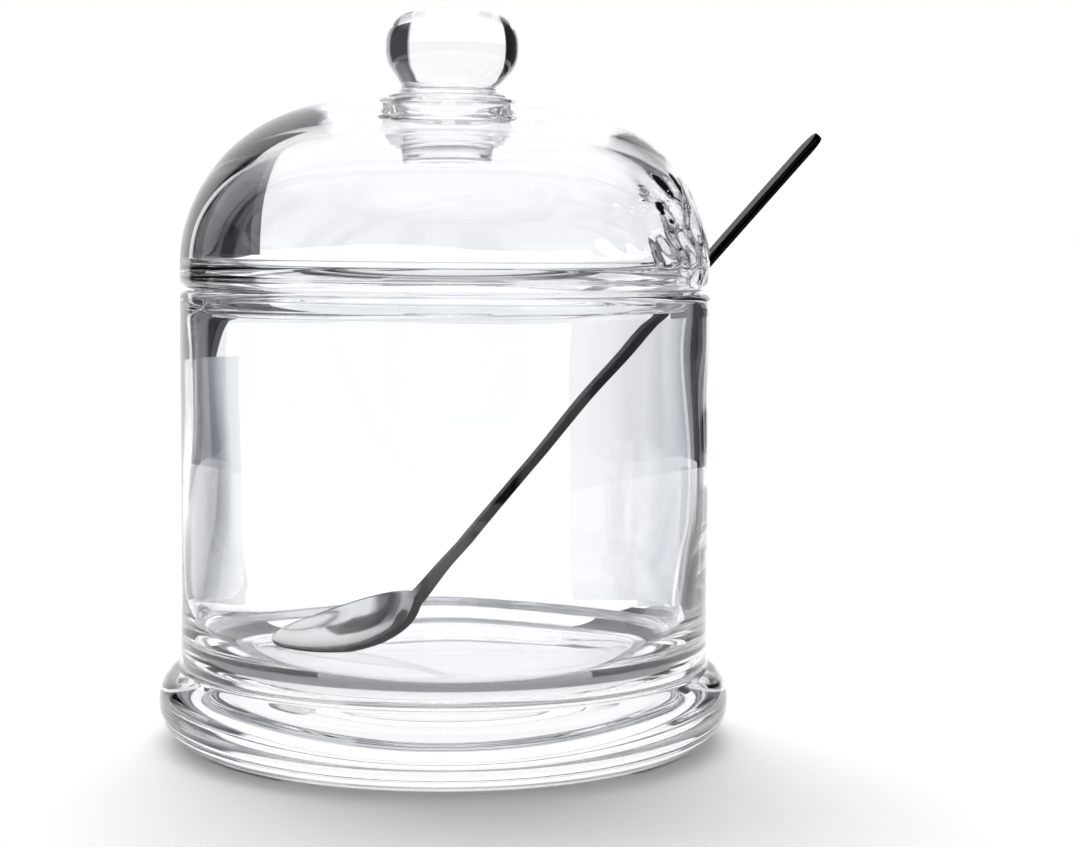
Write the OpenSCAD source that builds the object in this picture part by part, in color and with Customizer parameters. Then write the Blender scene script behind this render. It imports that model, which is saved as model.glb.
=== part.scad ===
// Sugar bowl: a straight-sided glass bowl on a round foot, a domed glass lid
// with a ball knob, and a steel spoon whose handle leaves through a notch.
// Millimetres, +Z up. The foot stands on z = 0 and every round piece turns
// about the Z axis. The notch and the spoon handle point along +X.

/* [Bowl] */
// Outside diameter of the straight wall, and of the lid
body_d = 85; // [82:0.5:88]
// Height of the bowl's rim above the table
rim_z = 72; // [68:0.5:78]
// Thickness of the bowl's side wall
wall_t = 2.8; // [2.4:0.1:3.2]
// Height of the inner floor above the table
floor_z = 12; // [11:0.25:12.25]
// Radius between the inner floor and the inner wall
inner_corner_r = 9; // [6:0.5:12]

/* [Foot] */
// Largest diameter of the rounded foot
foot_d = 92; // [89:0.5:98]
// Height of the foot where it meets the wall
foot_h = 13; // [12:0.25:14]
// Diameter of the shallow hollow under the foot
punt_d = 70; // [56:1:74]
// Depth of the shallow hollow under the foot
punt_h = 2.5; // [1:0.25:4]

/* [Lid] */
// Height of the dome's shoulder above its straight side
shoulder_r = 27; // [24:0.5:30]
// Extra rise of the crown at the axis
crown_rise = 0.6; // [0.4:0.1:1.2]
// Thickness of the dome's side wall
dome_t = 2.8; // [2.4:0.1:3.4]
// Radius of the dome's inner shoulder
inner_shoulder_r = 22.4; // [20:0.2:23]
// Length of the locating lip that hangs inside the rim
lip_drop = 3; // [2:0.25:4.5]
// Thickness of the locating lip
lip_t = 2.4; // [2:0.1:3]

/* [Notch] */
// Width of the spoon notch in the lid's edge
notch_w = 14; // [12:0.5:20]
// Height of the spoon notch above the lid's edge
notch_h = 15.5; // [13:0.5:18]

/* [Knob] */
// Largest diameter of the knob
knob_d = 21.2; // [19:0.2:24]
// Radius of the knob's rounded side
knob_side_r = 5.4; // [5:0.1:6]
// Diameter of the collar resting on the crown
collar_d = 18.8; // [17:0.2:22]
// Diameter of the stem that passes through the crown
stem_d = 14.6; // [12:0.2:15]
// Length of stem showing below the crown
stub_len = 4; // [2:0.25:6]

/* [Spoon] */
// Slope of the spoon's handle
handle_tilt = 49.4; // [49:0.1:50]
// Length of the handle from the spoon's bowl to its end
handle_len = 101; // [90:0.5:115]
// Width of the handle at its end
handle_w = 7; // [5:0.25:9]
// Width of the handle where it meets the spoon's bowl
neck_w = 5; // [4:0.25:7]
// Thickness of the handle
handle_t = 1.6; // [1.2:0.1:1.8]
// Diameter of the spoon's round bowl
scoop_d = 25; // [22:0.5:26]
// Radius of the ball the spoon's bowl is pressed over
scoop_r = 21.9; // [20:0.1:24]
// Thickness of the spoon's bowl
scoop_t = 1.2; // [0.8:0.1:1.4]
// Slope of the spoon bowl's edge
scoop_tilt = 17.5; // [15:0.5:19]

/* [Hidden] */

// Facets round the axis, on large arcs and on small edges
turn_fn = 64;
arc_fn = 64;
edge_fn = 24;

// Overrun of every cutting shape
cut = 1;

body_r = body_d / 2;
bore_r = body_r - wall_t;
rim_r = wall_t / 2;

foot_r = foot_d / 2;
foot_edge_r = foot_h / 2;
punt_r = punt_d / 2;
punt_ball_r = (punt_r * punt_r + punt_h * punt_h) / (2 * punt_h);

// Lid: seat above the rim, straight side up to the start of the shoulder
seat_gap = 0.3;
seat_z = rim_z + seat_gap;
lid_edge_r = 1.5;
shoulder_z = seat_z + 2.7;
shoulder_x = body_r - shoulder_r;
crown_h = shoulder_r + crown_rise;
crown_z = shoulder_z + crown_h;
crown_ball_r = (shoulder_x * shoulder_x + crown_h * crown_h
    - shoulder_r * shoulder_r) / (2 * crown_rise);
crown_x = shoulder_x * crown_ball_r / (crown_ball_r - shoulder_r);

// Lid's hollow: the shoulder springs from the top of the locating lip
lip_gap = 0.5;
lip_out_r = bore_r - lip_gap;
lip_in_r = lip_out_r - lip_t;
lip_top_z = seat_z + 1.4;
ledge_z = seat_z + 3.2;
hollow_r = body_r - dome_t;
hollow_x = hollow_r - inner_shoulder_r;
hollow_top_z = ledge_z + inner_shoulder_r;

// Knob: collar on the crown, round side, low crown
stem_r = stem_d / 2;
stem_gap = 0.03;
stub_edge_r = 1.1;
stub_z = hollow_top_z - stub_len;
collar_r = collar_d / 2;
collar_z = crown_z - stem_r * stem_r / (2 * crown_ball_r);
collar_edge_t = 0.5;
neck_z = collar_z + 1.4;
neck_r = stem_r + 0.2;
knob_x = knob_d / 2 - knob_side_r;
knob_low_z = collar_z + 7.7;
knob_high_z = knob_low_z + 0.9;
knob_dome_rise = 0.4;
knob_dome_h = knob_side_r + knob_dome_rise;
knob_top_z = knob_high_z + knob_dome_h;
knob_ball_r = (knob_x * knob_x + knob_dome_h * knob_dome_h
    - knob_side_r * knob_side_r) / (2 * knob_dome_rise);
knob_ball_x = knob_x * knob_ball_r / (knob_ball_r - knob_side_r);

// Spoon: the joint of handle and spoon bowl, set from the inner floor
joint_x = -5.2;
joint_z = floor_z + 9;
handle_root = 2;
scoop_drop = sqrt(scoop_r * scoop_r - scoop_d * scoop_d / 4);
scoop_back = scoop_d / 2 - 0.3;

// Wall, floor and foot, as one outline turned about the axis
module bowl_section() {
    difference() {
        union() {
            square([body_r, rim_z - rim_r]);
            translate([body_r - rim_r, rim_z - rim_r])
                circle(r = rim_r, $fn = edge_fn);
            square([foot_r - foot_edge_r, foot_h]);
            translate([foot_r - foot_edge_r, foot_edge_r])
                circle(r = foot_edge_r, $fn = arc_fn);
        }
        translate([0, floor_z + inner_corner_r])
            square([bore_r, rim_z]);
        translate([0, floor_z])
            square([bore_r - inner_corner_r, rim_z]);
        translate([bore_r - inner_corner_r, floor_z + inner_corner_r])
            circle(r = inner_corner_r, $fn = arc_fn);
        translate([0, punt_h - punt_ball_r])
            circle(r = punt_ball_r, $fn = 6 * arc_fn);
    }
}

module bowl() {
    color([0.86, 0.92, 0.93, 0.35])
        rotate_extrude($fn = turn_fn)
            bowl_section();
}

// Outside of the lid: seat, rounded edge, shoulder and crown
module dome_outline() {
    translate([0, seat_z])
        square([body_r - lid_edge_r, shoulder_z - seat_z]);
    translate([body_r - lid_edge_r, seat_z + lid_edge_r])
        circle(r = lid_edge_r, $fn = edge_fn);
    translate([0, seat_z + lid_edge_r])
        square([body_r, shoulder_z - seat_z - lid_edge_r]);
    translate([0, shoulder_z])
        square([shoulder_x, shoulder_r]);
    intersection() {
        translate([shoulder_x, shoulder_z])
            circle(r = shoulder_r, $fn = arc_fn);
        translate([shoulder_x, shoulder_z])
            square([shoulder_r, shoulder_r]);
    }
    intersection() {
        translate([0, crown_z - crown_ball_r])
            circle(r = crown_ball_r, $fn = 8 * arc_fn);
        translate([0, shoulder_z])
            square([crown_x, crown_h + cut]);
    }
    translate([0, seat_z - lip_drop + lip_t / 2])
        square([lip_out_r, lip_drop - lip_t / 2]);
    translate([lip_out_r - lip_t / 2, seat_z - lip_drop + lip_t / 2])
        circle(r = lip_t / 2, $fn = edge_fn);
}

// Air under the lid, open at the lip
module dome_hollow() {
    translate([0, seat_z - lip_drop - cut])
        square([lip_in_r, lip_drop + cut + lip_top_z - seat_z]);
    polygon([
        [0, lip_top_z],
        [lip_in_r, lip_top_z],
        [hollow_r, ledge_z],
        [0, ledge_z]
    ]);
    translate([0, ledge_z])
        square([hollow_x, inner_shoulder_r]);
    intersection() {
        translate([hollow_x, ledge_z])
            circle(r = inner_shoulder_r, $fn = arc_fn);
        translate([hollow_x, ledge_z])
            square([inner_shoulder_r, inner_shoulder_r]);
    }
}

// Round-topped opening for the spoon handle, cut through one side
module spoon_notch() {
    side_h = notch_h - notch_w / 2;
    translate([hollow_x, 0, seat_z])
        rotate([90, 0, 90])
            linear_extrude(height = body_r) {
                translate([-notch_w / 2, -lip_drop - cut])
                    square([notch_w, side_h + lip_drop + cut]);
                translate([0, side_h])
                    circle(d = notch_w, $fn = arc_fn);
            }
}

module lid_dome() {
    color([0.88, 0.93, 0.95, 0.35])
        difference() {
            rotate_extrude($fn = turn_fn)
                difference() {
                    dome_outline();
                    dome_hollow();
                }
            translate([0, 0, hollow_top_z - cut])
                cylinder(r = stem_r + stem_gap, h = crown_z, $fn = arc_fn);
            spoon_notch();
        }
}

// Knob, neck, collar, stem and stub, as one outline turned about the axis
module knob_section() {
    translate([0, stub_z])
        square([stem_r - stub_edge_r, stub_edge_r]);
    translate([stem_r - stub_edge_r, stub_z + stub_edge_r])
        circle(r = stub_edge_r, $fn = edge_fn);
    translate([0, stub_z + stub_edge_r])
        square([stem_r, knob_low_z - stub_z - stub_edge_r]);
    polygon([
        [0, collar_z],
        [collar_r, collar_z],
        [collar_r, collar_z + collar_edge_t],
        [neck_r, neck_z],
        [neck_r, neck_z + 1],
        [knob_x + knob_side_r * cos(35), knob_low_z - knob_side_r * sin(35)],
        [0, knob_low_z]
    ]);
    translate([0, knob_low_z])
        square([knob_x + knob_side_r, knob_high_z - knob_low_z]);
    translate([knob_x, knob_low_z])
        circle(r = knob_side_r, $fn = arc_fn);
    translate([knob_x, knob_high_z])
        circle(r = knob_side_r, $fn = arc_fn);
    intersection() {
        translate([0, knob_top_z - knob_ball_r])
            circle(r = knob_ball_r, $fn = 2 * arc_fn);
        translate([0, knob_high_z])
            square([knob_ball_x, knob_dome_h + cut]);
    }
}

module lid_knob() {
    color([0.9, 0.94, 0.96, 0.35])
        rotate_extrude($fn = turn_fn)
            intersection() {
                knob_section();
                square([knob_d, knob_top_z + cut]);
            }
}

// Round shallow bowl of the spoon, its edge in the local plane z = 0
module scoop() {
    difference() {
        translate([0, 0, scoop_drop])
            sphere(r = scoop_r, $fn = arc_fn);
        translate([0, 0, scoop_drop])
            sphere(r = scoop_r - scoop_t, $fn = arc_fn);
        translate([-scoop_r - cut, -scoop_r - cut, 0])
            cube([2 * scoop_r + 2 * cut, 2 * scoop_r + 2 * cut, 3 * scoop_r]);
    }
}

// Flat handle with a round end, lying along local +X
module handle() {
    end_x = handle_len - handle_w / 2;
    translate([0, 0, -handle_t / 2])
        linear_extrude(height = handle_t) {
            polygon([
                [-handle_root, -neck_w / 2],
                [end_x, -handle_w / 2],
                [end_x, handle_w / 2],
                [-handle_root, neck_w / 2]
            ]);
            translate([end_x, 0])
                circle(d = handle_w, $fn = arc_fn);
        }
}

module spoon() {
    color([0.72, 0.73, 0.75])
        translate([joint_x, 0, joint_z]) {
            rotate([0, -handle_tilt, 0])
                handle();
            rotate([0, -scoop_tilt, 0])
                translate([-scoop_back, 0, 0])
                    scoop();
        }
}

bowl();
lid_dome();
lid_knob();
spoon();
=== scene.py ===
import math
import bpy
import numpy as np
from mathutils import Matrix, Vector


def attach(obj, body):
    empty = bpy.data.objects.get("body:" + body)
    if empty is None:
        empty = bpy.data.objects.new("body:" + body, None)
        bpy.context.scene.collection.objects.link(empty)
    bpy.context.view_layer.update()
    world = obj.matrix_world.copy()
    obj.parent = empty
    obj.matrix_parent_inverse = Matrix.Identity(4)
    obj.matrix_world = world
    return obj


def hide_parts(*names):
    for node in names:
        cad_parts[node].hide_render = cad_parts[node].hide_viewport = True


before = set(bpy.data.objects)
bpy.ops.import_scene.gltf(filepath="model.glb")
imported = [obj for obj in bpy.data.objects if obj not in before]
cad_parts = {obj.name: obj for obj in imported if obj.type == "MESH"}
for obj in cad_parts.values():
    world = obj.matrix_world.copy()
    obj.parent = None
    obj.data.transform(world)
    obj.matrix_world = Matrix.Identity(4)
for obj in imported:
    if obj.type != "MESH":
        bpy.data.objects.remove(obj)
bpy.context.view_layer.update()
MM = 0.001

# ---------------------------------------------------------------- outlines
# Outlines are lists of (r, z) points in millimetres, turned about the Z axis.


def line(a, b, step):
    """Points from a to b, the last one left out."""
    a, b = np.array(a, float), np.array(b, float)
    n = max(1, int(math.ceil(np.linalg.norm(b - a) / step)))
    return a + (b - a) * (np.arange(n) / n)[:, None]


def lines(points, step):
    """Points along a run of straight lines, the last one left out."""
    return np.vstack([line(a, b, step) for a, b in zip(points, points[1:])])


def arc(centre, r, start, end, step):
    """Points along an arc, angles in degrees from +r, the last one left out."""
    n = max(2, int(math.ceil(abs(math.radians(end - start)) * r / step)))
    t = np.radians(start + (end - start) * np.arange(n) / n)
    return np.array(centre, float) + r * np.c_[np.cos(t), np.sin(t)]


def resample(points, steps):
    """Points at equal arc length along a polyline, both ends kept."""
    points = np.asarray(points, float)
    d = np.r_[0, np.cumsum(np.linalg.norm(np.diff(points, axis=0), axis=1))]
    t = np.linspace(0, d[-1], steps)
    return np.c_[np.interp(t, d, points[:, 0]), np.interp(t, d, points[:, 1])]


def soften(points, sigma, step=0.04):
    """Rounds every corner of a polyline as fire polishing does; ends stay."""
    points = np.asarray(points, float)
    length = np.linalg.norm(np.diff(points, axis=0), axis=1).sum()
    dense = resample(points, int(length / step) + 2)
    half = int(3 * sigma / step)
    kernel = np.exp(-0.5 * (np.arange(-half, half + 1) * step / sigma) ** 2)
    kernel /= kernel.sum()
    before = 2 * dense[0] - dense[half:0:-1]
    after = 2 * dense[-1] - dense[-2:-half - 2:-1]
    padded = np.vstack([before, dense, after])
    return np.c_[[np.convolve(padded[:, k], kernel, "valid") for k in (0, 1)]].T


def thin_out(points, fine, coarse, bend=6.0):
    """Keeps more points where the outline turns; bend is degrees a step."""
    points = np.asarray(points, float)
    seg = np.diff(points, axis=0)
    length = np.linalg.norm(seg, axis=1)
    angle = np.unwrap(np.arctan2(seg[:, 1], seg[:, 0]))
    keep = [0]
    run, turn = 0.0, 0.0
    for i in range(1, len(points) - 1):
        run += length[i - 1]
        turn += abs(angle[i] - angle[i - 1])
        if run >= coarse or (run >= fine and math.degrees(turn) >= bend):
            keep.append(i)
            run, turn = 0.0, 0.0
    keep.append(len(points) - 1)
    return points[keep]


# ---------------------------------------------------------------- meshes


def volume(verts, faces):
    """Signed volume, to tell which way a closed mesh faces."""
    total = 0.0
    for f in faces:
        a = verts[f[:, 0]]
        for k in range(1, f.shape[1] - 1):
            total += np.einsum("ij,ij->i", a, np.cross(verts[f[:, k]], verts[f[:, k + 1]])).sum()
    return total / 6


def make_mesh(name, verts, quads, tris=None):
    """A smooth shaded object from millimetre vertices."""
    groups = [quads] if tris is None or not len(tris) else [quads, tris]
    if volume(verts, groups) < 0:
        groups = [g[:, ::-1] for g in groups]
    faces = [f for g in groups for f in g.tolist()]
    mesh = bpy.data.meshes.new(name)
    mesh.from_pydata((verts * MM).tolist(), [], faces)
    mesh.polygons.foreach_set("use_smooth", np.ones(len(faces), bool))
    mesh.update()
    obj = bpy.data.objects.new(name, mesh)
    bpy.context.scene.collection.objects.link(obj)
    return obj


def grid_mesh(name, rings, first_pole, last_pole):
    """Closes a grid of rings (rows, columns, 3) with a pole at each end."""
    rows, columns = rings.shape[:2]
    verts = np.vstack([rings.reshape(-1, 3), first_pole, last_pole])
    r, c = np.meshgrid(np.arange(rows - 1), np.arange(columns), indexing="ij")
    n = (c + 1) % columns
    quads = np.stack([r * columns + c, r * columns + n, (r + 1) * columns + n,
                      (r + 1) * columns + c], -1).reshape(-1, 4)
    c = np.arange(columns)
    n = (c + 1) % columns
    top = np.full(columns, rows * columns)
    last = (rows - 1) * columns
    tris = np.vstack([np.c_[top, n, c], np.c_[top + 1, last + c, last + n]])
    return make_mesh(name, verts, quads, tris)


def turned(outline, phi, shift=None):
    """Rings of an outline at the angles phi; shift(r, z, phi) moves r."""
    r = np.repeat(outline[:, :1], len(phi), 1)
    z = np.repeat(outline[:, 1:], len(phi), 1)
    p = np.repeat(phi[None, :], len(outline), 0)
    if shift is not None:
        r = r + shift(r, z, p)
    return np.stack([r * np.cos(p), r * np.sin(p), z], -1)


def smooth(x, low, high):
    """0 below low, 1 above high, smooth between."""
    t = np.clip((x - low) / (high - low), 0, 1)
    return t * t * (3 - 2 * t)


# ---------------------------------------------------------------- the bowl
BODY_R, BORE_R, RIM_Z = 42.5, 39.7, 72.0
RIM_ROUND = (BODY_R - BORE_R) / 2
FLOOR_Z, CORNER_R = 12.0, 9.0
FOOT_C, FOOT_EDGE = (39.5, 6.5), 6.5
GROOVE = 1.0
groove_z = FOOT_C[1] + math.sqrt((FOOT_EDGE + GROOVE) ** 2 - (BODY_R + GROOVE - FOOT_C[0]) ** 2)
groove_deg = math.degrees(math.atan2(groove_z - FOOT_C[1], BODY_R + GROOVE - FOOT_C[0]))
PUNT_R, PUNT_H = 35.0, 2.5
punt_ball = (PUNT_R ** 2 + PUNT_H ** 2) / (2 * PUNT_H)
punt_deg = math.degrees(math.asin(PUNT_R / punt_ball))

bowl_outline = np.vstack([
    line((0, FLOOR_Z), (BORE_R - CORNER_R, FLOOR_Z), 0.3),
    arc((BORE_R - CORNER_R, FLOOR_Z + CORNER_R), CORNER_R, -90, 0, 0.1),
    line((BORE_R, FLOOR_Z + CORNER_R), (BORE_R, RIM_Z - RIM_ROUND), 0.3),
    arc((BORE_R + RIM_ROUND, RIM_Z - RIM_ROUND), RIM_ROUND, 180, 0, 0.05),
    line((BODY_R, RIM_Z - RIM_ROUND), (BODY_R, groove_z), 0.3),
    arc((BODY_R + GROOVE, groove_z), GROOVE, 180, 180 + groove_deg, 0.05),
    arc(FOOT_C, FOOT_EDGE, groove_deg, -90, 0.08),
    line((FOOT_C[0], 0), (PUNT_R, 0), 0.2),
    arc((0, PUNT_H - punt_ball), punt_ball, 90 - punt_deg, 90, 0.3),
    [(0, PUNT_H)],
])
bowl_outline = thin_out(soften(bowl_outline, 0.12), 0.25, 1.6, 4.5)


def bowl_shift(r, z, p):
    """Hand-made glass: the bore sits a little off centre and wanders in r."""
    inner = (r < BORE_R + 0.4) & (z > FLOOR_Z + 0.5)
    mean = np.interp(z, [12, 18, 24, 35, 48, 69.2, 71.6], [0, -0.1, 0.25, 0.55, 0.6, 0.6, 0])
    lean = np.interp(z, [12, 17, 24, 35, 48, 69.2, 71.6], [0, -0.5, -0.6, -0.5, -0.45, -0.45, 0])
    reach = smooth(z, 14, 26) * (1 - smooth(z, 62, 69.5))
    bore = (mean + lean * np.cos(p) + reach * (
        0.06 * np.sin(5 * p - z / 13) + 0.05 * np.sin(z / 5.5 + 3 * p) + 0.04 * np.sin(9 * p + z / 9)))
    bore *= smooth(r, 30, 37)
    outer = (r > BORE_R + 0.4) & (z > groove_z)
    skin = smooth(z, 15, 24) * (1 - smooth(z, 58, 68)) * (
        -0.06 + 0.05 * np.sin(3 * p + z / 21) + 0.03 * np.sin(z / 7 - 2 * p))
    return np.where(inner, bore, np.where(outer, skin, 0.0))


SEGS = 288
phi = np.arange(SEGS) * 2 * math.pi / SEGS
bowl_rings = turned(bowl_outline[1:-1], phi, bowl_shift)
bowl = grid_mesh("bowl_glass", bowl_rings, [[0, 0, FLOOR_Z]], [[0, 0, PUNT_H]])

# ---------------------------------------------------------------- the lid
# One fused piece of glass: knob, collar, dome, locating lip and stub. Every
# column of the mesh runs from the knob's top down the outside, round the edge
# and back up the inside to the stub. The columns gather round the spoon notch.
# The knob leans KNOB_SHIFT to the right of the dome's axis.
SHOULDER_C, SHOULDER_R = (15.5, 75.0), 27.0
HOLLOW_C, HOLLOW_R = (17.3, 75.5), 22.4
CROWN_Z, CROWN_BALL = 102.6, 227.5
crown_x = SHOULDER_C[0] * CROWN_BALL / (CROWN_BALL - SHOULDER_R)
crown_deg = math.degrees(math.acos(crown_x / CROWN_BALL))
KNOB_X, KNOB_R, KNOB_LOW, KNOB_HIGH, KNOB_TOP = 5.2, 5.4, 110.18, 111.08, 116.88
KNOB_BALL = 39.4
knob_bx = KNOB_X * KNOB_BALL / (KNOB_BALL - KNOB_R)
knob_deg = math.degrees(math.acos(knob_bx / KNOB_BALL))
SEAT_Z, LIP_OUT, LIP_IN, LIP_LOW = 72.3, 39.2, 36.8, 69.3
HALF_W, ARCH_Z, EDGE = 7.0, 80.8, 1.4
SEAT_ROUND, LIP_ROUND = 1.5, 1.2
HOLLOW_TOP, STUB_LOW = 97.9, 93.78
KNOB_SHIFT = 0.75
COLUMNS_HALF, BAND = 162, 46

COLLAR_TIP, CROWN_START = (9.42, 103.02), 9.9
knob_part = np.vstack([
    arc((0, KNOB_TOP - KNOB_BALL), KNOB_BALL, 90, knob_deg, 0.2),
    arc((KNOB_X, KNOB_HIGH), KNOB_R, knob_deg, 0, 0.1),
    line((KNOB_X + KNOB_R, KNOB_HIGH), (KNOB_X + KNOB_R, KNOB_LOW), 0.1),
    arc((KNOB_X, KNOB_LOW), KNOB_R, 0, -31, 0.1),
    lines([(9.83, 107.40), (8.40, 105.55), (7.52, 104.45), (7.62, 103.85), (8.35, 103.35),
           COLLAR_TIP], 0.1),
    lines([COLLAR_TIP, (9.40, 102.72), (8.80, 102.43)], 0.05),
    [(CROWN_START, 102.39)],
])
knob_part = thin_out(soften(knob_part, 0.09), 0.16, 0.7, 9.0)
crown_start = math.degrees(math.acos(CROWN_START / CROWN_BALL))
dome_out = np.vstack([
    arc((0, CROWN_Z - CROWN_BALL), CROWN_BALL, crown_start, crown_deg, 0.1),
    arc(SHOULDER_C, SHOULDER_R, crown_deg, 0, 0.05),
    line((BODY_R, 75.0), (BODY_R, SEAT_Z), 0.05),
])
dome_in = np.vstack([
    line((8.9, HOLLOW_TOP), (HOLLOW_C[0], HOLLOW_TOP), 0.1),
    arc(HOLLOW_C, HOLLOW_R, 90, 0, 0.05),
    [(BORE_R, 75.5)],
])
stub_part = np.vstack([
    arc((8.7, 96.5), 1.4, 90, 180, 0.05),
    line((7.3, 96.5), (7.24, 95.1), 0.1),
    arc((6.1, 95.0), 1.14, 0, -90, 0.05),
    line((6.1, 93.86), (0, STUB_LOW), 0.2),
    [(0, STUB_LOW)],
])
stub_part = thin_out(soften(stub_part, 0.08), 0.16, 0.9, 9.0)


def along(curve):
    """Arc length at each point of a curve."""
    return np.r_[0, np.cumsum(np.linalg.norm(np.diff(curve, axis=0), axis=1))]


out_s, in_s = along(dome_out), along(dome_in)


def on_curve(curve, s, at):
    """Points of a curve at the arc lengths at."""
    return np.stack([np.interp(at, s, curve[:, k]) for k in (0, 1)], -1)


def notch_path(level, mid_r):
    """Half of the notch line from the arch's top to the back, as (angle, z)."""
    reach = HALF_W + EDGE
    corner = 1.0
    return np.vstack([
        arc((0, ARCH_Z), reach, 90, 0, 0.05),
        line((reach, ARCH_Z), (reach, level + corner), 0.05),
        arc((reach + corner, level + corner), corner, 180, 270, 0.05),
        line((reach + corner, level), (math.pi * mid_r, level), 0.2),
        [(math.pi * mid_r, level)],
    ])


def place_columns(path):
    """Column points along half the notch line, closer together at the notch."""
    s = along(path)
    near = 13.2 + (ARCH_Z - path[-1, 1]) + 4
    density = 1 / (0.42 + 0.75 * smooth(s, near, near + 45))
    count = np.r_[0, np.cumsum(0.5 * (density[1:] + density[:-1]) * np.diff(s))]
    at = np.interp(np.linspace(0, count[-1], COLUMNS_HALF + 1), count, s)
    points = on_curve(path, s, at)
    ahead = on_curve(path, s, np.clip(at + 0.25, 0, s[-1]))
    behind = on_curve(path, s, np.clip(at - 0.25, 0, s[-1]))
    tangent = ahead - behind
    tangent /= np.linalg.norm(tangent, axis=1)[:, None]
    tangent[0], tangent[-1] = (1, 0), (1, 0)
    off_glass = np.c_[tangent[:, 1], -tangent[:, 0]]
    return points, off_glass


MID_R = 41.1
edge_out, edge_dir = place_columns(notch_path(73.8, MID_R))
edge_in = place_columns(notch_path(75.9, MID_R))[0]
flat = edge_out[:, 0] - (HALF_W + EDGE + 1.0)
notch_share = np.where(edge_out[:, 1] > 73.95, 1.0, 1 - smooth(flat, 0.3, 4.2))
uniform_phi = np.linspace(0, math.pi, COLUMNS_HALF + 1)
BEAD = 0.42


def shoulder_deg(z):
    """Angle on the shoulder's arc at height z."""
    return np.degrees(np.arcsin(np.clip((z - SHOULDER_C[1]) / SHOULDER_R, 0, 1)))


def surface_rows(curve, s, s_even, s_edge, even_rows, edge_rows, edge_phi, outward):
    """Rows from the even ring down to the notch line, with the notch's bead."""
    rows = []
    for j in range(even_rows):
        at = np.full(COLUMNS_HALF + 1, s_even * j / even_rows)
        rows.append((at, uniform_phi, np.zeros(COLUMNS_HALF + 1)))
    for j in range(edge_rows + 1):
        t = j / edge_rows
        at = s_even + (s_edge - s_even) * t
        p = uniform_phi + (edge_phi - uniform_phi) * smooth(t, 0, 1)
        left = (s_edge - s_even) * (1 - t)
        bead = BEAD * notch_share * np.exp(-(left / 3.2) ** 2)
        rows.append((at, p, bead))
    out = []
    for at, p, bead in rows:
        ahead = on_curve(curve, s, np.clip(at + 0.05, 0, s[-1]))
        behind = on_curve(curve, s, np.clip(at - 0.05, 0, s[-1]))
        t = ahead - behind
        t /= np.linalg.norm(t, axis=1)[:, None]
        normal = np.c_[-t[:, 1], t[:, 0]] * outward
        moved = on_curve(curve, s, at) + normal * bead[:, None]
        out.append(np.c_[moved, p])
    return np.array(out)


def curve_s_at_z(curve, s, z):
    """Arc length where a falling curve passes height z."""
    return np.interp(-z, -curve[:, 1], s)


FLAT_ROWS = 40  # leading points of dome_in that lie level, where z doesn't give s
even_out = curve_s_at_z(dome_out, out_s, 98.2)
even_in = curve_s_at_z(dome_in[FLAT_ROWS:], in_s[FLAT_ROWS:], 95.6)
s_edge_out = curve_s_at_z(dome_out, out_s, edge_out[:, 1])
deg = shoulder_deg(edge_in[:, 1])
edge_in_z = HOLLOW_C[1] + HOLLOW_R * np.sin(np.radians(deg))
s_edge_in = curve_s_at_z(dome_in[FLAT_ROWS:], in_s[FLAT_ROWS:], edge_in_z)
edge_phi = edge_out[:, 0] / MID_R
edge_phi_in = edge_in[:, 0] / MID_R
outer_rows = surface_rows(dome_out, out_s, even_out, s_edge_out, 26, 34, edge_phi, -1)
inner_rows = surface_rows(dome_in, in_s, even_in, s_edge_in, 22, 30, edge_phi_in, 1)


def to_xyz(rzp):
    """Turns (r, z, angle) into (x, y, z)."""
    r, z, p = rzp[..., 0], rzp[..., 1], rzp[..., 2]
    return np.stack([r * np.cos(p), r * np.sin(p), z], -1)


outer_xyz, inner_xyz = to_xyz(outer_rows), to_xyz(inner_rows)

# The edge band: a plain rounded edge round the notch, and the seat and lip
# everywhere else, mixed over a few millimetres at the notch's two feet.
lip_turn_z = LIP_LOW + LIP_ROUND
seat = np.vstack([
    arc((BODY_R - SEAT_ROUND, SEAT_Z + SEAT_ROUND), SEAT_ROUND, 0, -90, 0.05),
    lines([(BODY_R - SEAT_ROUND, SEAT_Z), (LIP_OUT, SEAT_Z), (LIP_OUT, lip_turn_z)], 0.05),
    arc((LIP_OUT - LIP_ROUND, lip_turn_z), LIP_ROUND, 0, -180, 0.05),
    lines([(LIP_IN, lip_turn_z), (LIP_IN, 73.6), inner_rows[-1, -1, :2]], 0.05),
    [inner_rows[-1, -1, :2]],
])
seat = resample(soften(seat, 0.16), BAND + 2)[1:-1]
theta = np.linspace(0, math.pi, BAND + 2)[1:-1]
outer_end, inner_end = outer_xyz[-1], inner_xyz[-1]
up_deg = np.radians(shoulder_deg(edge_out[:, 1]))
along_phi = np.c_[-np.sin(edge_phi), np.cos(edge_phi), np.zeros_like(edge_phi)]
along_up = np.c_[-np.sin(up_deg) * np.cos(edge_phi), -np.sin(up_deg) * np.sin(edge_phi), np.cos(up_deg)]
off_glass = along_phi * edge_dir[:, :1] + along_up * edge_dir[:, 1:]
round_edge = []
plain_seat = []
for k in range(BAND):
    across, out = (1 - math.cos(theta[k])) / 2, (EDGE + 0.1) * math.sin(theta[k])
    round_edge.append(outer_end * (1 - across) + inner_end * across + off_glass * out)
    rz = np.repeat(seat[k][None], len(edge_phi), 0)
    plain_seat.append(to_xyz(np.c_[rz, edge_phi + (edge_phi_in - edge_phi) * k / BAND]))
round_edge, plain_seat = np.array(round_edge), np.array(plain_seat)
share = notch_share[None, :, None]
band = plain_seat * (1 - share) + round_edge * share


def both_halves(rows):
    """Mirrors half of the columns across the XZ plane to close the ring."""
    other = rows[:, -2:0:-1] * np.array([1, -1, 1])
    return np.concatenate([rows, other], 1)


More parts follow.
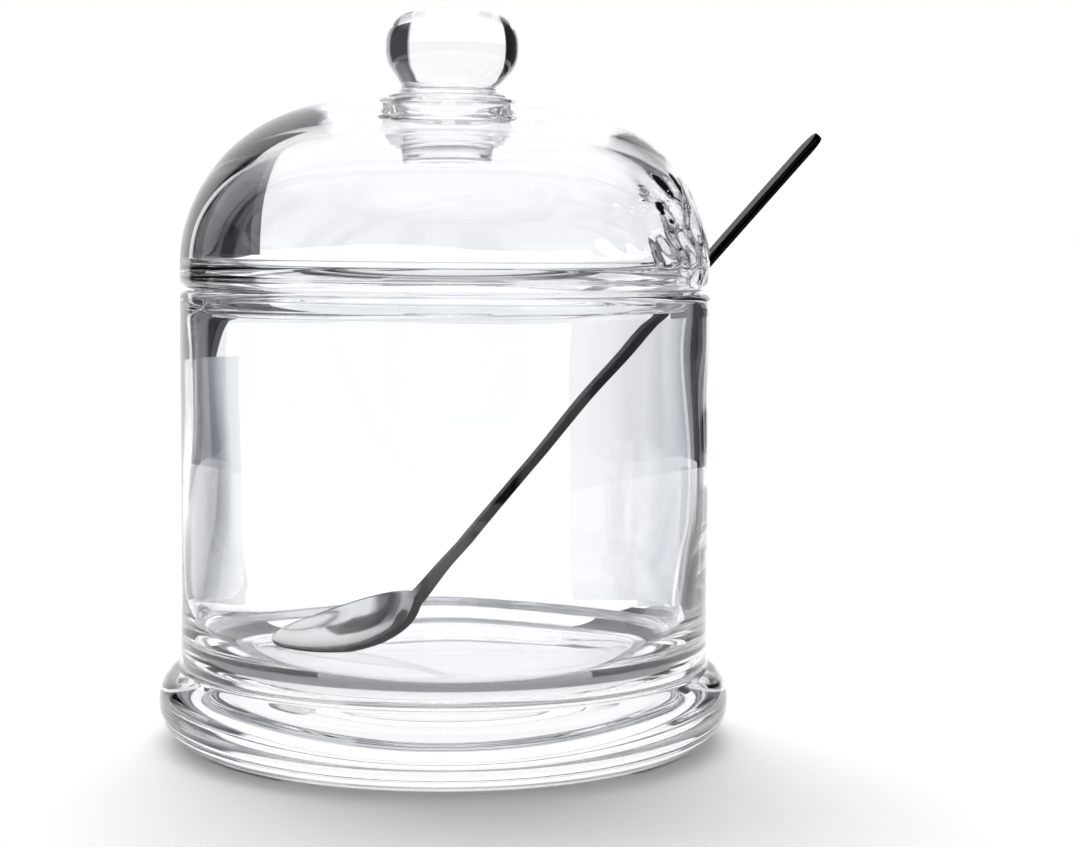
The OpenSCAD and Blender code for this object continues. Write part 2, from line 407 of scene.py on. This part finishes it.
def half_rings(outline):
    """Rows of the first half turn of an outline, its two pole points left out."""
    return turned(outline[1:-1], uniform_phi)


knob_rows, stub_rows = half_rings(knob_part), half_rings(stub_part)
lid_rows = np.concatenate([knob_rows, outer_xyz, band, inner_xyz[::-1], stub_rows])
lid_rings = both_halves(lid_rows)


def lid_wave(v, inner):
    """Slow waves in the dome, ripples pressed beside the notch, a leaning knob.

    inner is 1 on the inside, where the ripples are; u and w are millimetres
    round from the notch and up from the seat.
    """
    r = np.hypot(v[..., 0], v[..., 1])
    a = np.arctan2(v[..., 1], v[..., 0])
    z = v[..., 2]
    reach = smooth(z, 76, 82) * smooth(r, 12, 22)
    wave = reach * (0.07 * np.sin(3 * a + z / 9) + 0.05 * np.sin(5 * a - r / 6 + 1.3))
    u, w = np.abs(a) * 41.0, z - 74.0
    patch = smooth(u, 9.0, 12.0) * (1 - smooth(u, 32.0, 33.6)) * (1 - 0.45 * smooth(u, 22, 33))
    patch *= smooth(w, 0.5, 3.0) * (1 - smooth(w, 11.0, 15.5))
    ripple = np.sin(u / 1.15 + 1.9 * np.sin(w / 1.9 + 0.6)) + 0.8 * np.sin(w / 1.25 + 2.1 * np.sin(u / 2.6))
    dent = np.exp(-((w - 9.4) / 1.5) ** 2) * smooth(u, 31, 34) * (1 - smooth(u, 44, 56))
    front = 0.2 + 0.8 * smooth(-v[..., 1], -6, 6)
    push = wave + inner * front * (0.42 * patch * ripple + 0.20 * dent)
    out = v.copy()
    scale = 1 - push / np.maximum(r, 1)
    out[..., 0] *= scale
    out[..., 1] *= scale
    out[..., 0] += KNOB_SHIFT * smooth(z, CROWN_Z, 107)
    return out


rows_in = len(knob_rows) + len(outer_xyz) + BAND
inner_share = np.zeros((len(lid_rings), 1))
inner_share[rows_in:rows_in + len(inner_xyz)] = 1
lid_rings = lid_wave(lid_rings, inner_share)
lid = grid_mesh("lid_glass", lid_rings, [[KNOB_SHIFT, 0, KNOB_TOP]], [[0, 0, STUB_LOW]])

# ---------------------------------------------------------------- the spoon
# Sections along a line from the tip of the spoon's bowl to the handle's end.
JOINT = (-5.2, 21.0)
SCOOP_LEN, HANDLE_LEN = 24.3, 101.0
SPOON_LEN = SCOOP_LEN + HANDLE_LEN
SCOOP_R, END_R = 12.45, 3.5
SCOOP_ROLL = math.radians(9.0)
s_fine = np.linspace(0, SPOON_LEN, 4001)


def slope_deg(s):
    """Steepness of the spoon's line at the distance s from its tip."""
    scoop_slope = np.interp(s, [0, 6, 12.5, 20, SCOOP_LEN], [10.5, 12.5, 16.5, 22.0, 27.5])
    t = np.clip((s - SCOOP_LEN) / HANDLE_LEN, 0, 1)
    handle_slope = 50.6 - 2.3 * t
    return scoop_slope + (handle_slope - scoop_slope) * smooth(s, SCOOP_LEN - 3.0, SCOOP_LEN + 3.0)


ang = np.radians(slope_deg(s_fine))
step = s_fine[1] - s_fine[0]
path_x = np.r_[0, np.cumsum(0.5 * (np.cos(ang[1:]) + np.cos(ang[:-1])) * step)]
path_z = np.r_[0, np.cumsum(0.5 * (np.sin(ang[1:]) + np.sin(ang[:-1])) * step)]
path_x += JOINT[0] - np.interp(SCOOP_LEN, s_fine, path_x)
path_z += JOINT[1] - np.interp(SCOOP_LEN, s_fine, path_z)


def spoon_widths(s):
    """Half width, dish depth and thickness at each section."""
    x = np.clip(s - SCOOP_R, -SCOOP_R, SCOOP_R)
    circle = np.sqrt(np.maximum(SCOOP_R ** 2 - x ** 2, 0.0))
    neck = 2.35 + 1.15 * smooth(s, SCOOP_LEN + 6, SPOON_LEN - 6)
    k = 1.6  # how softly the circle runs into the neck
    excess = np.log(1 + np.exp((neck - circle) / k)) * k
    wide = np.where(s > SCOOP_R, circle + excess * smooth(s, SCOOP_R, SCOOP_R + 9), circle)
    fade = 1 - smooth(s, 2 * SCOOP_R, 2 * SCOOP_R + 7)
    wide = np.where(s > 2 * SCOOP_R, neck + (wide - neck) * fade, wide)
    tip = SPOON_LEN - s
    end = np.sqrt(np.maximum(END_R ** 2 - (END_R - tip) ** 2, 0))
    wide = np.where(tip < END_R, np.minimum(wide, end), wide)
    dish = 3.35 * np.clip(1 - ((s - 12.2) / 12.6) ** 2, 0, 1) ** 0.85
    dish = dish * (1 - smooth(s, 19.5, 25.5))
    thick = 0.95 + 0.85 * smooth(s, 18, SCOOP_LEN + 1) - 0.45 * smooth(s, SCOOP_LEN + 3, SCOOP_LEN + 26)
    return wide, dish, thick


u = np.linspace(0, math.pi / 2, 26)[1:]
stations = np.r_[
    12.0 * (1 - np.cos(u)),
    np.linspace(12.0, SCOOP_LEN + 8, 62)[1:],
    np.linspace(SCOOP_LEN + 8, SPOON_LEN - 4, 70)[1:],
    SPOON_LEN - 4 * (1 - np.sin(np.linspace(0, math.pi / 2, 16)[1:-1])),
]
wide, dish, thick = spoon_widths(stations)
thick = np.minimum(thick, 1.6 * wide)
ROUND, SPAN = 9, 25  # points round each rim and across each face
sections = []
for s, w, dd, t in zip(stations, wide, dish, thick):
    edge = min(t / 2, w * 0.98)
    inner = max(w - edge, 1e-4)
    q = np.linspace(-1, 1, SPAN)
    a = np.linspace(-math.pi / 2, math.pi / 2, ROUND + 2)[1:-1]
    lateral = np.r_[q * inner, inner + edge * np.cos(a[::-1]), (q * inner)[::-1], -inner - edge * np.cos(a)]
    offset = np.r_[np.full(SPAN, t / 2), t / 2 * np.sin(a[::-1]), np.full(SPAN, -t / 2), t / 2 * np.sin(a)]
    mid = -dd * (1 - np.clip(lateral / w, -1, 1) ** 2)
    tilt = np.arctan(2 * dd * np.clip(lateral / w, -1, 1) / w)
    y = lateral - offset * np.sin(tilt)
    h = mid + offset * np.cos(tilt)
    cx, cz = np.interp(s, s_fine, path_x), np.interp(s, s_fine, path_z)
    psi = math.radians(float(slope_deg(np.array([s]))[0]))
    roll = SCOOP_ROLL * (1 - smooth(s, SCOOP_LEN - 4, SCOOP_LEN + 8))
    y, h = y * math.cos(roll) - h * math.sin(roll), h * math.cos(roll) + y * math.sin(roll)
    sections.append(np.c_[cx - h * math.sin(psi), y, cz + h * math.cos(psi)])
sections = np.array(sections)
first = [[path_x[0], 0, path_z[0] - 0.05]]
last = [[path_x[-1], 0, path_z[-1]]]
spoon = grid_mesh("spoon_steel", sections, first, last)
# Painted dark reflection: the handle and the rim's edge get a near-black steel colour standing in for the
# dark surroundings that polished steel reflects; the dish and its back are bright.
along_s = np.repeat(stations, sections.shape[1])
painted_dark_edges = np.r_[np.zeros(SPAN), np.ones(ROUND), np.zeros(SPAN), np.ones(ROUND)]
painted_dark_edges = np.tile(painted_dark_edges, len(stations))
painted_dark_share = np.maximum(smooth(along_s, SCOOP_LEN - 1.5, SCOOP_LEN + 4), painted_dark_edges)
painted_dark_share = np.r_[painted_dark_share, 1.0, 1.0]
layer = spoon.data.color_attributes.new("painted_dark_reflection", "FLOAT_COLOR", "POINT")
layer.data.foreach_set("color", np.repeat(painted_dark_share, 4))

# ---------------------------------------------------------------- materials


def new_material(name):
    """A material with an empty node tree, and that tree."""
    made = bpy.data.materials.new(name)
    made.use_nodes = True
    made.node_tree.nodes.clear()
    return made, made.node_tree


def add_node(tree, kind, inputs, **settings):
    """A new shader node; inputs are sockets to link from or values to set."""
    node = tree.nodes.new("ShaderNode" + kind)
    for key, value in settings.items():
        setattr(node, key, value)
    for key, value in inputs.items():
        if isinstance(value, bpy.types.NodeSocket):
            tree.links.new(value, node.inputs[key])
        else:
            node.inputs[key].default_value = value
    return node


def object_place(tree):
    return add_node(tree, "TexCoord", {}).outputs["Object"]


def noise(tree, place, scale, detail, distortion=0.0):
    inputs = {"Vector": place, "Scale": scale, "Detail": detail, "Distortion": distortion}
    return add_node(tree, "TexNoise", inputs).outputs["Fac"]


def colours(tree, value, first, last):
    """A colour between first and last."""
    node = add_node(tree, "ValToRGB", {"Fac": value})
    for element, colour in zip(node.color_ramp.elements, (first, last)):
        element.color = (*colour, 1)
    return node.outputs["Color"]


def bump(tree, height, strength, distance):
    inputs = {"Height": height, "Strength": strength, "Distance": distance}
    return add_node(tree, "Bump", inputs).outputs["Normal"]


def finish_surface(tree, inputs):
    """The Principled shader of a material, joined to its output."""
    shader = add_node(tree, "BsdfPrincipled", inputs)
    add_node(tree, "OutputMaterial", {"Surface": shader.outputs["BSDF"]})


def glass_material():
    """Clear glass: a faint uneven tint, slight smears and gentle waves."""
    made, tree = new_material("clear_glass")
    place = object_place(tree)
    tint = colours(tree, noise(tree, place, 34, 3), (0.962, 0.976, 0.990), (0.980, 0.988, 0.997))
    smears = add_node(tree, "MapRange", {
        "Value": noise(tree, place, 55, 6, 1.2), "From Min": 0.52, "From Max": 0.9,
        "To Min": 0.0, "To Max": 0.03})
    waves = bump(tree, noise(tree, place, 42, 1), 0.35, 0.00012)
    finish_surface(tree, {
        "Base Color": tint, "Roughness": smears.outputs["Result"], "Normal": waves,
        "Transmission Weight": 1.0, "IOR": 1.5})
    return made


def steel_material():
    """Polished steel brushed along the handle, near black where its vertex colour layer is 1: a painted
    dark reflection.
    """
    made, tree = new_material("stainless_steel")
    place = object_place(tree)
    brushed = add_node(tree, "Mapping", {
        "Vector": place, "Rotation": (0, math.radians(49.4), 0), "Scale": (60, 1600, 1600)})
    grain = noise(tree, brushed.outputs["Vector"], 1.0, 4)
    cloud = noise(tree, place, 120, 5)
    share = add_node(tree, "VertexColor", {}, layer_name="painted_dark_reflection")
    # Colour B, near black, is the painted dark reflection on the handle and the rim's edge.
    colour = add_node(tree, "Mix", {
        "Factor": share.outputs["Color"],
        "A": colours(tree, cloud, (0.74, 0.74, 0.74), (0.88, 0.88, 0.87)),
        "B": colours(tree, cloud, (0.003, 0.003, 0.0035), (0.010, 0.010, 0.011))}, data_type="RGBA")
    rough = add_node(tree, "MapRange", {"Value": grain, "To Min": 0.04, "To Max": 0.16})
    finish_surface(tree, {
        "Base Color": colour.outputs["Result"], "Roughness": rough.outputs["Result"],
        "Normal": bump(tree, grain, 0.12, 0.00002), "Metallic": 1.0,
        "Specular Tint": (0.3, 0.3, 0.3, 1)})
    return made


glass, steel = glass_material(), steel_material()
for piece, body, cad_nodes, slot, material in (
        (bowl, "bowl", ["bowl"], "clear_glass", glass),
        (lid, "lid", ["lid_dome", "lid_knob"], "clear_glass", glass),
        (spoon, "spoon", ["spoon"], "stainless_steel", steel)):
    piece.data.materials.append(material)
    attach(piece, body)
    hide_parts(*cad_nodes)

# ---------------------------------------------------------------- stage
FLOOR_HALF, FLOOR_DROP = 30.0, 0.00005


def pale_floor():
    """A large plain floor just under the foot."""
    mesh = bpy.data.meshes.new("floor")
    corners = [(x * FLOOR_HALF, y * FLOOR_HALF, 0) for x, y in ((-1, -1), (1, -1), (1, 1), (-1, 1))]
    mesh.from_pydata(corners, [], [(0, 1, 2, 3)])
    made, tree = new_material("pale_floor")
    finish_surface(tree, {
        "Base Color": (0.93, 0.93, 0.935, 1), "Roughness": 0.9, "Specular IOR Level": 0.1})
    mesh.materials.append(made)
    obj = bpy.data.objects.new("floor", mesh)
    obj.location.z = -FLOOR_DROP
    bpy.context.scene.collection.objects.link(obj)


pale_floor()

# Grey and black cards round the set, as a glass photographer uses. They cast no
# shadow and don't show to the camera: they show only through the glass, or, if
# glossy, in its reflections and the steel's. A tone is 0 for black, 1 for white.
# The set frame is turned by VIEW_AZ, so that its y runs away from the camera.
VIEW_AZ = math.radians(4.0)
COOL_TINT = np.array([0.93, 0.97, 1.05])  # colour of tones below 0.6
NEAR_Y = 0.06


def card_material():
    """Gives off the card's own tone and lights nothing else."""
    made, tree = new_material("flag_card")
    tone = add_node(tree, "VertexColor", {}, layer_name="tone")
    glow = add_node(tree, "Emission", {"Color": tone.outputs["Color"]})
    add_node(tree, "OutputMaterial", {"Surface": glow.outputs["Emission"]})
    made.cycles.emission_sampling = "NONE"
    return made


card = card_material()


def flag(name, corners, tones, glossy=False):
    """One card object of quads; corners (n, 4, 3) metres, tones (n, 4)."""
    corners, tones = np.asarray(corners, float), np.asarray(tones, float)
    mesh = bpy.data.meshes.new(name)
    mesh.from_pydata(corners.reshape(-1, 3).tolist(), [],
                     np.arange(len(corners) * 4).reshape(-1, 4).tolist())
    layer = mesh.color_attributes.new("tone", "FLOAT_COLOR", "POINT")
    t = tones.reshape(-1, 1)
    cool = np.clip((0.9 - t) / 0.3, 0, 1)
    colour = t * (1 + cool * (COOL_TINT - 1))
    layer.data.foreach_set("color", np.c_[colour, np.ones(len(t))].ravel())
    mesh.materials.append(card)
    obj = bpy.data.objects.new(name, mesh)
    bpy.context.scene.collection.objects.link(obj)
    obj.visible_camera = obj.visible_diffuse = obj.visible_shadow = False
    obj.visible_volume_scatter = False
    obj.visible_glossy, obj.visible_transmission = glossy, not glossy


def set_frame(x, y, z):
    """A point given right, behind and above the bowl as the camera sees it."""
    c, s = math.cos(VIEW_AZ), math.sin(VIEW_AZ)
    return (x * c + y * s, -x * s + y * c, z)


def compass(radius, angle, z):
    """A point at an angle in radians from +Y towards +X."""
    return (radius * math.sin(angle), radius * math.cos(angle), z)


def ring_card(name, table, radius, low, high, steps=3, glossy=False, soft=0.0):
    """Upright card bent round the set, toned by compass angle in degrees.

    White stretches are left out, and soft is the height over which its top
    fades to white.
    """
    rows = [(low, high, False)] + ([(high, high + soft, True)] if soft else [])
    corners, tones = [], []
    for (a0, t0), (a1, t1) in zip(table, table[1:]):
        if min(t0, t1) >= 0.99:
            continue
        angles = np.radians(np.linspace(a0, a1, steps + 1))
        shades = np.linspace(t0, t1, steps + 1)
        for b0, b1, v0, v1 in zip(angles, angles[1:], shades, shades[1:]):
            for base, top, fades in rows:
                places = ((b0, base), (b1, base), (b1, top), (b0, top))
                corners.append([compass(radius, b, z) for b, z in places])
                tones.append([v0, v1, 1.0, 1.0] if fades else [v0, v1, v1, v0])
    flag(name, corners, tones, glossy)


def mat(name, edges, fade, z=0.0004):
    """Floor card between the lines x = a + b y of the set frame.

    edges are (a, b, tone), and fade says at each y how far the tones have gone
    to white.
    """
    for k, ((near, n), (far, f)) in enumerate(zip(fade, fade[1:])):
        corners, tones = [], []
        for (a0, b0, t0), (a1, b1, t1) in zip(edges, edges[1:]):
            corners.append([set_frame(a + b * y, y, z)
                            for a, b, y in ((a0, b0, near), (a1, b1, near), (a1, b1, far), (a0, b0, far))])
            tones.append([t + (1 - t) * white for t, white in ((t0, n), (t1, n), (t1, f), (t0, f))])
        flag("%s_%d" % (name, k), corners, tones)


def floor_ring(name, spans, rows, steps, z):
    """Floor card of ring sectors; spans in degrees, rows are (radius, tone)."""
    corners, tones = [], []
    for low, high in spans:
        angles = np.radians(np.linspace(low, high, steps + 1))
        for a0, a1 in zip(angles, angles[1:]):
            for (r0, t0), (r1, t1) in zip(rows, rows[1:]):
                corners.append([compass(r, a, z) for r, a in ((r0, a0), (r1, a0), (r1, a1), (r0, a1))])
                tones.append([t0, t1, t1, t0])
    flag(name, corners, tones)


def near_card(name, columns, low, high, darker=1.0):
    """Upright card close behind the bowl; columns are (x low, x high, tone).

    darker is the power that the tones are raised to at its lower edge.
    """
    corners, tones = [], []
    for (a0, a1, t0), (b0, b1, t1) in zip(columns, columns[1:]):
        corners.append([set_frame(a0, NEAR_Y, low), set_frame(b0, NEAR_Y, low),
                        set_frame(b1, NEAR_Y, high), set_frame(a1, NEAR_Y, high)])
        tones.append([t0 ** darker, t1 ** darker, t1, t0])
    flag(name, corners, tones)


# Round the set, with white windows behind the bowl and at its right and rear.
ring_card("flags_round", [
    (-110, 0.35), (-106, 0.98), (-76, 0.98), (-73, 0.02), (-38, 0.02), (-36, 1), (31, 1), (34, 0.06),
    (60, 0.06), (70, 0.35), (116, 0.35), (120, 0.98), (150, 0.98), (153, 0.06), (180, 0.04),
    (220, 0.04), (250, 0.10)], 0.40, 0.0, 0.20, 2)
ring_card("flags_high", [
    (-110, 0.5), (-73, 0.3), (-38, 0.05), (-36, 1), (31, 1), (34, 0.1), (60, 0.3), (110, 0.3),
    (160, 0.05), (180, 0.04), (220, 0.04), (250, 0.10)], 0.40, 0.20, 0.36, 4, soft=0.1)
ring_card("flags_gloss", [(-180, 0.03), (-42, 0.04), (-38, 1)], 0.45, -0.01, 0.34, 12, True, 0.12)
ring_card("flags_gloss_right", [(33, 1), (38, 0.06), (180, 0.03)], 0.45, -0.01, 0.34, 12, True, 0.12)

# On the floor: behind the walls, round the set, by the foot and under the punt.
MAT_FADE = ((0.052, 0.0), (0.12, 0.0), (0.20, 0.5), (0.30, 1.0))
mat("mat_left", [
    (-0.029, -0.15, 0.90), (-0.0355, -0.19, 0.42), (-0.043, -0.34, 0.33), (-0.044, -0.36, 0.85),
    (-0.048, -0.50, 0.85), (-0.049, -0.53, 0.10), (-0.055, -0.78, 0.10), (-0.058, -0.88, 0.9)], MAT_FADE)
mat("mat_right", [
    (0.029, 0.20, 0.90), (0.033, 0.245, 0.62), (0.032, 0.35, 0.58), (0.033, 0.365, 0.88),
    (0.035, 0.40, 0.88), (0.037, 0.42, 0.08), (0.050, 0.85, 0.08), (0.055, 1.0, 0.9)], MAT_FADE)
floor_ring("mats_round", ((-76, -66), (44, 66), (100, 112), (156, 170), (190, 215)),
           ((0.064, 0.35), (0.36, 0.35)), 4, 0.0003)
floor_ring("mats_foot", ((40, 140), (-140, -40)), ((0.0405, 0.05), (0.064, 0.05)), 20, 0.0003)
# Painted light: a glowing near-white disc under the punt, seen through the glass where the floor lies in
# the bowl's shadow.
floor_ring("painted_light_disc_below", ((0, 360),),
           ((0.0, 0.97), (0.004, 0.97), (0.020, 0.97), (0.030, 0.90), (0.0342, 0.80)), 48, 0.0002)

# Close behind the bowl: black beside the lid, graded grey beside the wall.
near_card("flag_left", [
    (-0.0470, -0.0415, 0.1), (-0.0495, -0.0440, 0.1), (-0.0496, -0.0441, 0.008), (-0.082, -0.082, 0.008)],
    0.0585, 0.076)
near_card("flag_left_high", [
    (-0.0392, -0.0400, 0.1), (-0.0415, -0.0430, 0.1), (-0.0416, -0.0431, 0.008), (-0.082, -0.082, 0.008)],
    0.076, 0.145)
near_card("flag_right", [(0.053, 0.053, 0.03), (0.085, 0.085, 0.03)], 0.068, 0.100)
near_card("flag_left_low", [(x, x, tone) for x, tone in (
    (-0.0405, 1.0), (-0.0450, 0.80), (-0.0485, 0.42), (-0.0570, 0.28), (-0.0600, 0.06),
    (-0.068, 0.06))], 0.0006, 0.0585, 3.0)
near_card("flag_right_low", [(x, x, tone) for x, tone in (
    (0.0260, 1.0), (0.0460, 0.90), (0.0500, 0.78), (0.0625, 0.52), (0.0630, 1.0), (0.0668, 1.0),
    (0.0675, 0.03), (0.095, 0.03))], 0.0006, 0.068, 1.5)


def studio_light():
    """White light all round; the floor gets more from above and behind."""
    world = bpy.data.worlds.new("studio")
    bpy.context.scene.world = world
    world.use_nodes = True
    tree = world.node_tree
    tree.nodes.clear()

    def calculate(operation, a, b):
        return add_node(tree, "Math", {0: a, 1: b}, operation=operation).outputs[0]

    def ramp(value, low, high):
        """0 at low, 1 at high, smooth between; low may be the larger."""
        inputs = {"Value": value, "From Min": low, "From Max": high}
        return add_node(tree, "MapRange", inputs, interpolation_type="SMOOTHSTEP").outputs["Result"]

    place = add_node(tree, "TexCoord", {}).outputs["Generated"]
    x, y, z = add_node(tree, "SeparateXYZ", {0: place}).outputs
    behind = calculate("MULTIPLY", ramp(y, 0.2, 0.6), ramp(x, 1.2, 0.0))
    key = calculate("MULTIPLY", ramp(z, 0.35, 0.75), behind)
    on_floor = calculate("ADD", 0.45, calculate("MULTIPLY", key, 6.6))
    rays = add_node(tree, "LightPath", {})
    strength = add_node(tree, "Mix", {
        "Factor": rays.outputs["Is Diffuse Ray"], "A": 1.02, "B": on_floor}, data_type="FLOAT")
    background = add_node(tree, "Background", {
        "Color": (1, 1, 1, 1), "Strength": strength.outputs["Result"]})
    add_node(tree, "OutputWorld", {"Surface": background.outputs["Background"]})


studio_light()

# ---------------------------------------------------------------- camera
# AZIMUTH is the camera's place round the bowl, YAW, PITCH and ROLL its aim.
AZIMUTH, YAW, PITCH, ROLL = -4.0, 2.40, 4.73, 0.45
DISTANCE, HEIGHT = 0.3634, 0.0807
az, head, pitch, roll = (math.radians(v) for v in (AZIMUTH, AZIMUTH - YAW, PITCH, ROLL))
forward = Vector((-math.sin(head) * math.cos(pitch), math.cos(head) * math.cos(pitch), -math.sin(pitch)))
right = Vector((math.cos(head), math.sin(head), 0))
up = right.cross(forward)
right, up = (right * math.cos(roll) + up * math.sin(roll), up * math.cos(roll) - right * math.sin(roll))
camera_data = bpy.data.cameras.new("camera")
camera_data.sensor_width = 36
camera_data.lens = 75.1
camera_data.clip_start = 0.01
camera = bpy.data.objects.new("camera", camera_data)
bpy.context.scene.collection.objects.link(camera)
rotation = Matrix((right, up, -forward)).transposed().to_4x4()
place = (DISTANCE * math.sin(az), -DISTANCE * math.cos(az), HEIGHT)
camera.matrix_world = Matrix.Translation(place) @ rotation
bpy.context.scene.camera = camera

scene = bpy.context.scene
scene.view_settings.view_transform = "Standard"
scene.cycles.max_bounces = 32
scene.cycles.transmission_bounces = 28
scene.cycles.glossy_bounces = 16
